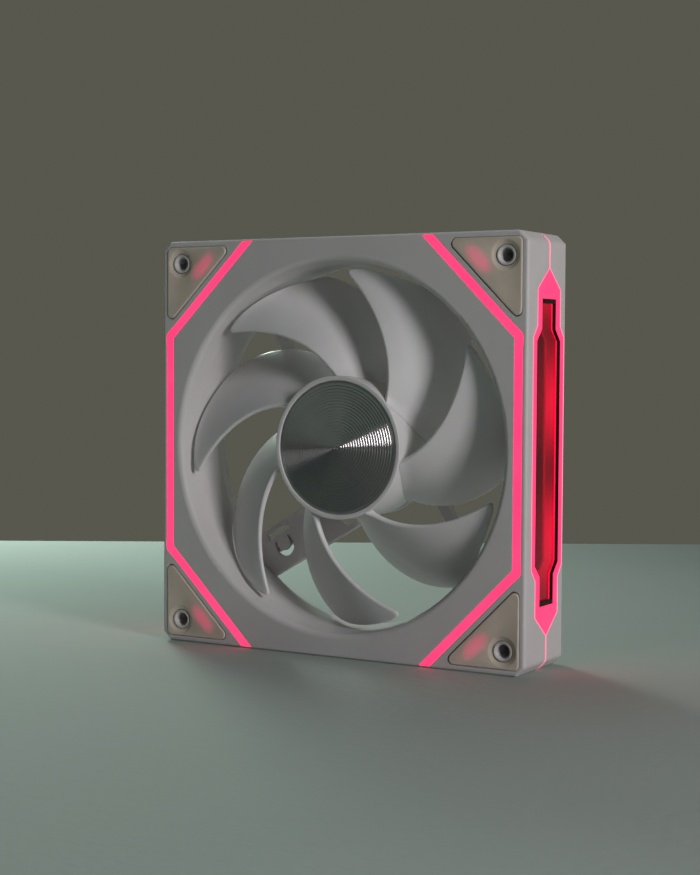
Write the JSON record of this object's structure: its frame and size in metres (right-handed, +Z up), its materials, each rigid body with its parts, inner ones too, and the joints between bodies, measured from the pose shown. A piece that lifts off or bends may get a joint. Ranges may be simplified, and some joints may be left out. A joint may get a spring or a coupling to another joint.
{
  "type": "case fan",
  "caption": "Square computer case fan with a swept-blade impeller on a brushless motor, lit front strips and lit mirror panels in its two side faces.",
  "frame": {"origin": "centre of the fan's bounding box, on the impeller's axle, halfway through its depth", "axes": "+Z up, +X to the right seen from the front (intake) side, +Y from the intake face towards the struts on the rear face, along the axle"},
  "size_m": [0.14, 0.03, 0.14],
  "materials": {
    "frame_plastic": "matte white moulded ABS",
    "light_guide": "milky light guide, lit pink",
    "tinted_window": "half-silvered tinted window, lit from its edge",
    "mirror_plate": "mirror",
    "bezel_plastic": "black moulded",
    "pad_silicone": "warm grey translucent silicone",
    "circuit_board": "white solder mask",
    "led_package": "surface-mount LED",
    "screw_steel": "zinc plated, black",
    "socket_plastic": "black moulded",
    "contact_metal": "gold plated",
    "blade_plastic": "satin white moulded",
    "turned_aluminium": "spun concentric grain, dark anodised",
    "yoke_steel": "drawn, zinc plated",
    "magnet": "bonded ferrite",
    "shaft_steel": "ground and polished",
    "bearing_nylon": "natural nylon",
    "brass_tube": "drawn",
    "sintered_bronze": "sintered, oil filled",
    "seal_rubber": "moulded",
    "core_steel": "stacked laminations",
    "insulator_plastic": "moulded",
    "copper_wire": "enamelled copper",
    "chip_plastic": "moulded epoxy",
    "lead_insulation": "white PVC",
    "label_foil": "blank silver film"
  },
  "bodies": {
    "frame": {"front_frame": "frame_plastic", "rear_frame": "frame_plastic", "front_light_left": "light_guide", "front_light_right": "light_guide", "side_light_left": "light_guide", "side_light_right": "light_guide", "side_window_left": "tinted_window", "side_window_right": "tinted_window", "side_bezel_left": "bezel_plastic", "side_bezel_right": "bezel_plastic", "side_mirror_left": "mirror_plate", "side_mirror_right": "mirror_plate", "front_pad_top_left": "pad_silicone", "front_pad_top_right": "pad_silicone", "front_pad_bottom_left": "pad_silicone", "front_pad_bottom_right": "pad_silicone", "rear_pad_top_left": "pad_silicone", "rear_pad_top_right": "pad_silicone", "rear_pad_bottom_left": "pad_silicone", "rear_pad_bottom_right": "pad_silicone", "front_led_board_top_left": "circuit_board", "front_led_board_top_right": "circuit_board", "front_led_board_bottom_left": "circuit_board", "front_led_board_bottom_right": "circuit_board", "side_led_board_top_left": "circuit_board", "side_led_board_top_right": "circuit_board", "side_led_board_bottom_left": "circuit_board", "side_led_board_bottom_right": "circuit_board", "front_leds": "led_package", "side_leds": "led_package", "shell_screws": "screw_steel", "link_socket_top": "socket_plastic", "link_socket_bottom": "socket_plastic", "link_contacts_top": "contact_metal", "link_contacts_bottom": "contact_metal", "bearing_tube": "brass_tube", "bearing_sleeve": "sintered_bronze", "oil_seal": "seal_rubber", "thrust_pad": "bearing_nylon", "stator_core": "core_steel", "insulator_front": "insulator_plastic", "insulator_rear": "insulator_plastic", "coil_1": "copper_wire", "coil_2": "copper_wire", "coil_3": "copper_wire", "coil_4": "copper_wire", "coil_5": "copper_wire", "coil_6": "copper_wire", "motor_board": "circuit_board", "motor_board_chips": "chip_plastic", "motor_leads": "lead_insulation", "rear_label": "label_foil"},
    "rotor": {"impeller": "blade_plastic", "hub_disc": "turned_aluminium", "rotor_yoke": "yoke_steel", "magnet_ring": "magnet", "rotor_shaft": "shaft_steel", "retaining_ring": "bearing_nylon"}
  },
  "joints": [
    {"name": "rotor_spin", "type": "hinge", "parent": "frame", "child": "rotor", "pos_m": [0, 0, 0], "axis": [0, 1, 0], "continuous": true}
  ]
}
